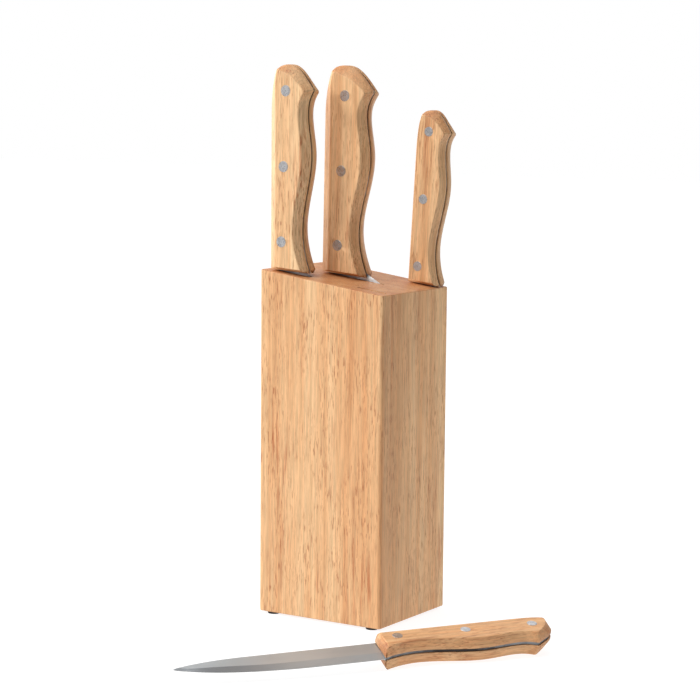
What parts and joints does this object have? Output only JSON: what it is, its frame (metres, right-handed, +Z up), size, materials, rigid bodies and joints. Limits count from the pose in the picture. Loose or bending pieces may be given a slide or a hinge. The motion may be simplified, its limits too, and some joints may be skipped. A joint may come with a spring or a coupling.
{
  "type": "knife block with knives",
  "caption": "Upright laminated wooden knife block with a sloping top and thin slots in three rows, with full-tang, wood-handled kitchen knives.",
  "frame": {"origin": "on the resting surface, at the middle of the ground that the block and the loose knife cover together; the block's own centre is at x -56.5 mm, y 85.4 mm", "axes": "+Z up, +X from the knives' spines to their edges, where the sloping top is lowest, +Y from the front row of slots to the back row"},
  "size_m": [0.2052, 0.2491, 0.3528],
  "materials": {
    "block_wood": "satin",
    "handle_wood": "satin",
    "blade_steel": "satin",
    "rivet_steel": "polished",
    "foot_rubber": "matte"
  },
  "bodies": {
    "block": {"back_board": "block_wood", "back_core_board": "block_wood", "back_row_floor_strip": "block_wood", "back_row_left_strip": "block_wood", "back_row_right_strip": "block_wood", "front_board": "block_wood", "front_core_board": "block_wood", "front_row_floor_strip": "block_wood", "front_row_left_strip": "block_wood", "front_row_middle_strip": "block_wood", "front_row_right_strip": "block_wood", "middle_row_floor_strip": "block_wood", "middle_row_left_strip": "block_wood", "middle_row_right_strip": "block_wood", "rubber_feet": "foot_rubber"},
    "chefs_knife": {"chefs_knife_back_scale": "handle_wood", "chefs_knife_blade_and_tang": "blade_steel", "chefs_knife_front_scale": "handle_wood", "chefs_knife_rivets": "rivet_steel"},
    "slicing_knife": {"slicing_knife_back_scale": "handle_wood", "slicing_knife_blade_and_tang": "blade_steel", "slicing_knife_front_scale": "handle_wood", "slicing_knife_rivets": "rivet_steel"},
    "paring_knife": {"paring_knife_back_scale": "handle_wood", "paring_knife_blade_and_tang": "blade_steel", "paring_knife_front_scale": "handle_wood", "paring_knife_rivets": "rivet_steel"},
    "utility_knife": {"utility_knife_back_scale": "handle_wood", "utility_knife_blade_and_tang": "blade_steel", "utility_knife_front_scale": "handle_wood", "utility_knife_rivets": "rivet_steel"}
  },
  "joints": [
    {"name": "chefs_knife_draw", "type": "slide", "parent": "block", "child": "chefs_knife", "axis": [0.0148, 0, 0.9999], "range_m": [0, 0.215]},
    {"name": "slicing_knife_draw", "type": "slide", "parent": "block", "child": "slicing_knife", "axis": [0, 0, 1], "range_m": [0, 0.21]},
    {"name": "paring_knife_draw", "type": "slide", "parent": "block", "child": "paring_knife", "axis": [0.0576, 0, 0.9983], "range_m": [0, 0.105]},
    {"name": "utility_knife_lift", "type": "slide", "parent": "block", "child": "utility_knife", "axis": [0, 0, 1], "range_m": [0, 0.12]}
  ]
}
